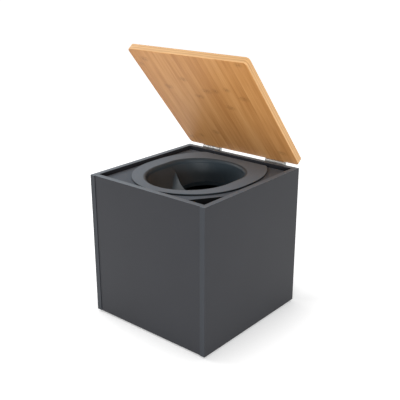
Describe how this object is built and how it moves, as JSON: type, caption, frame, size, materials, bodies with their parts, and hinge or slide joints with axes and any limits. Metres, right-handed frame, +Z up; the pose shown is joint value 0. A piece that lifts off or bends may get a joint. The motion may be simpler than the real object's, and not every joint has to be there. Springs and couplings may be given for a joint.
{
  "type": "urine-diverting toilet",
  "caption": "Compact dry toilet: dark box, recessed deck with a two-way separator insert, canister and bucket inside, and a hinged bamboo lid standing half open.",
  "frame": {"origin": "on the floor under the feet, at the middle of the outline seen from above with the lid half open", "axes": "+Z up, +Y from the front to the hinged rear, +X to the right as seen from the front"},
  "size_m": [0.38, 0.407, 0.7066],
  "materials": {
    "dark_board": "satin laminate",
    "dark_deck": "satin laminate",
    "insert_plastic": "satin-gloss moulding",
    "bamboo": "oiled, satin",
    "batten_wood": "raw, planed",
    "dowel_wood": "raw",
    "hinge_steel": "brushed",
    "screw_steel": "bright zinc",
    "wire_steel": "drawn",
    "foot_rubber": "matte",
    "canister_plastic": "matte",
    "bucket_plastic": "matte",
    "grip_plastic": "matte"
  },
  "bodies": {
    "box": {"left_side_panel": "dark_board", "right_side_panel": "dark_board", "front_panel": "dark_board", "rear_panel": "dark_board", "bottom_panel": "dark_board", "corner_dowels": "dowel_wood", "bottom_dowels": "dowel_wood", "front_left_foot": "foot_rubber", "front_right_foot": "foot_rubber", "rear_left_foot": "foot_rubber", "rear_right_foot": "foot_rubber", "foot_screws": "screw_steel", "left_deck_ledge": "batten_wood", "right_deck_ledge": "batten_wood", "front_deck_ledge": "batten_wood", "ledge_screws": "screw_steel", "left_hinge_box_leaf": "hinge_steel", "right_hinge_box_leaf": "hinge_steel", "left_hinge_pin": "hinge_steel", "right_hinge_pin": "hinge_steel", "hinge_box_screws": "screw_steel"},
    "lid": {"lid": "bamboo", "left_hinge_lid_leaf": "hinge_steel", "right_hinge_lid_leaf": "hinge_steel", "hinge_lid_screws": "screw_steel"},
    "deck": {"deck_panel": "dark_deck", "separator_insert": "insert_plastic"},
    "canister": {"urine_canister": "canister_plastic"},
    "bucket": {"solids_bucket": "bucket_plastic"},
    "bail": {"bucket_bail": "wire_steel", "bail_grip": "grip_plastic"}
  },
  "joints": [
    {"name": "lid_hinge", "type": "hinge", "parent": "box", "child": "lid", "pos_m": [0, 0.19401, 0.39225], "axis": [-1, 0, 0], "range_deg": [-50, 50]},
    {"name": "deck_lift", "type": "slide", "parent": "box", "child": "deck", "axis": [0, 0, 1], "range_m": [0, 0.006]},
    {"name": "canister_lift", "type": "slide", "parent": "box", "child": "canister", "axis": [0, 0, 1], "range_m": [0, 0.005]},
    {"name": "bucket_lift", "type": "slide", "parent": "box", "child": "bucket", "axis": [0, 0, 1], "range_m": [0, 0.006]},
    {"name": "bail_swing", "type": "hinge", "parent": "bucket", "child": "bail", "pos_m": [0, 0.04351, 0.277], "axis": [1, 0, 0], "range_deg": [0, 50]}
  ]
}
